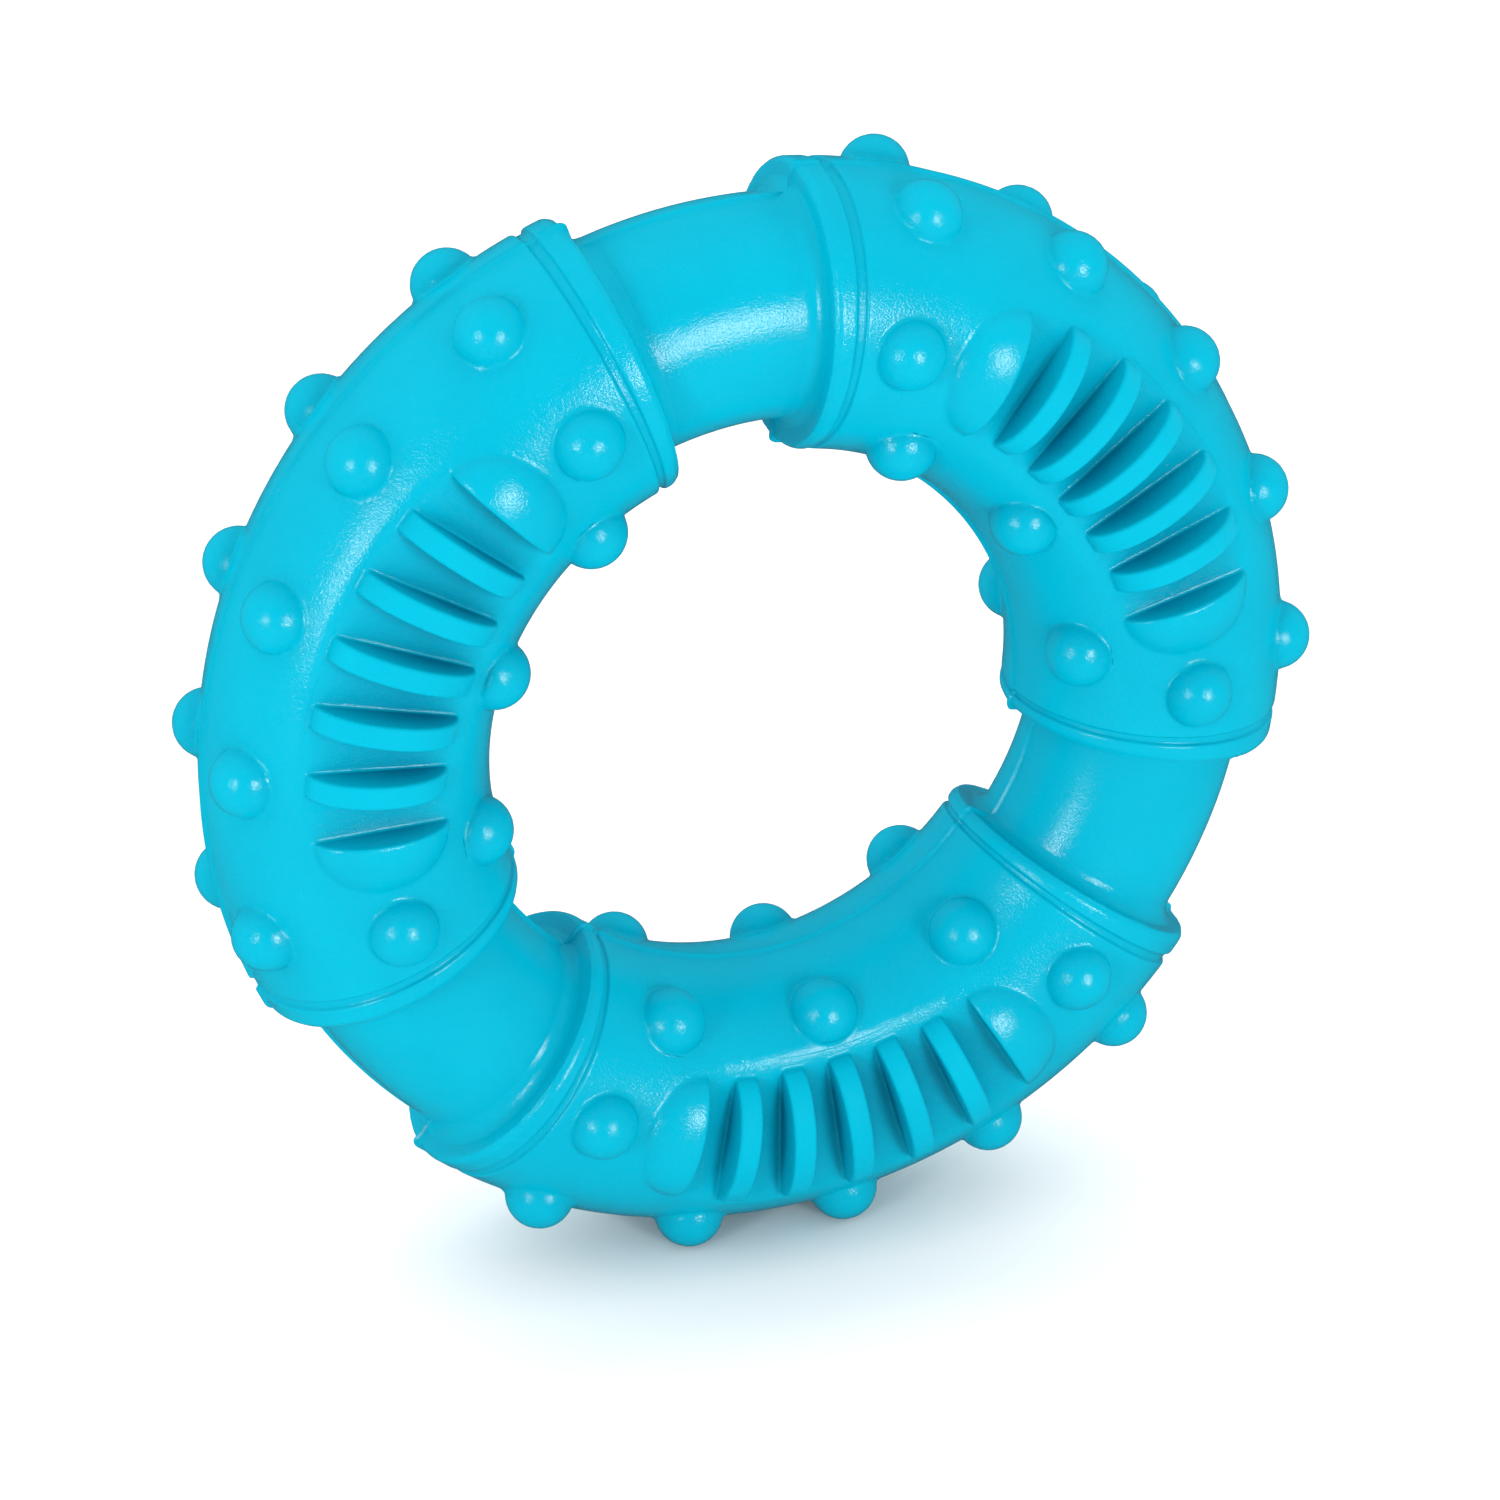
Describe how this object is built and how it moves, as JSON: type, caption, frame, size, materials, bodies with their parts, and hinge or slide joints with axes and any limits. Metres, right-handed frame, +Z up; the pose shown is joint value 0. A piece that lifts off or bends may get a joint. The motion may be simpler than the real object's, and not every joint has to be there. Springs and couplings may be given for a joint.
{
  "type": "rubber chew toy",
  "caption": "Ring-shaped rubber dog chew: thick sleeves with beaded ends, round nubs and curved cleaning fins on a plain core ring.",
  "frame": {"origin": "on the surface that the ring stands on, below the ring's centre", "axes": "+Z up, +Y along the ring's axis towards the back, +X to the right as seen from the front"},
  "size_m": [0.1304, 0.0386, 0.1289],
  "materials": {
    "rubber": "semi-gloss moulded rubber"
  },
  "bodies": {
    "root": {"core_ring": "rubber", "sleeve_bottom_front": "rubber", "sleeve_bottom_back": "rubber", "sleeve_right_front": "rubber", "sleeve_right_back": "rubber", "sleeve_left_front": "rubber", "sleeve_left_back": "rubber", "fins_bottom_front": "rubber", "fins_bottom_back": "rubber", "fins_right_front": "rubber", "fins_right_back": "rubber", "fins_left_front": "rubber", "fins_left_back": "rubber"}
  },
  "joints": []
}
